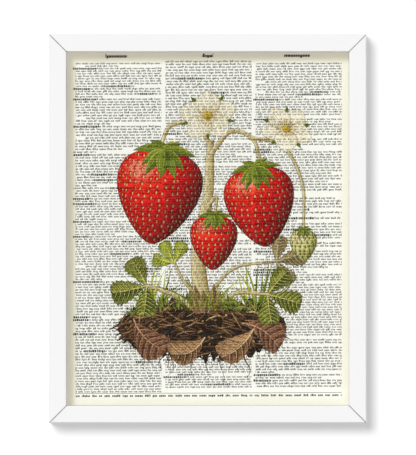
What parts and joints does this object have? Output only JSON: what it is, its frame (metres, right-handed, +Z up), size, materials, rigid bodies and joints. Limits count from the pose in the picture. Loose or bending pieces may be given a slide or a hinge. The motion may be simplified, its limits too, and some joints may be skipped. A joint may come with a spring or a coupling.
{
  "type": "framed botanical print",
  "caption": "White mitred picture frame for a wall, with a botanical print on a printed book page behind glass, a backing board and a saw-tooth hanger.",
  "frame": {"origin": "where the wall's nail bears in the hanger's middle notch, in the wall's plane", "axes": "+Z up, +X to the right seen from the front, and +Y into the wall, so the picture faces -Y"},
  "size_m": [0.2212, 0.022, 0.271],
  "materials": {
    "white_paint": "smooth satin white paint",
    "glass": "clear float glass",
    "paper": "matt aged book paper with printed columns and a coloured plant plate",
    "fibreboard": "smooth brown hardboard",
    "zinc_steel": "bright zinc plate",
    "clear_rubber": "cloudy clear, satin"
  },
  "bodies": {
    "root": {"rail_top": "white_paint", "rail_right": "white_paint", "rail_bottom": "white_paint", "rail_left": "white_paint", "glass": "glass", "print": "paper", "backing_board": "fibreboard", "flex_point_top_1": "zinc_steel", "flex_point_top_2": "zinc_steel", "flex_point_right_1": "zinc_steel", "flex_point_right_2": "zinc_steel", "flex_point_bottom_1": "zinc_steel", "flex_point_bottom_2": "zinc_steel", "flex_point_left_1": "zinc_steel", "flex_point_left_2": "zinc_steel", "v_nail_top_right": "zinc_steel", "v_nail_bottom_right": "zinc_steel", "v_nail_bottom_left": "zinc_steel", "v_nail_top_left": "zinc_steel", "hanger": "zinc_steel", "hanger_nail_left": "zinc_steel", "hanger_nail_right": "zinc_steel", "bumper_left": "clear_rubber", "bumper_right": "clear_rubber"}
  },
  "joints": []
}
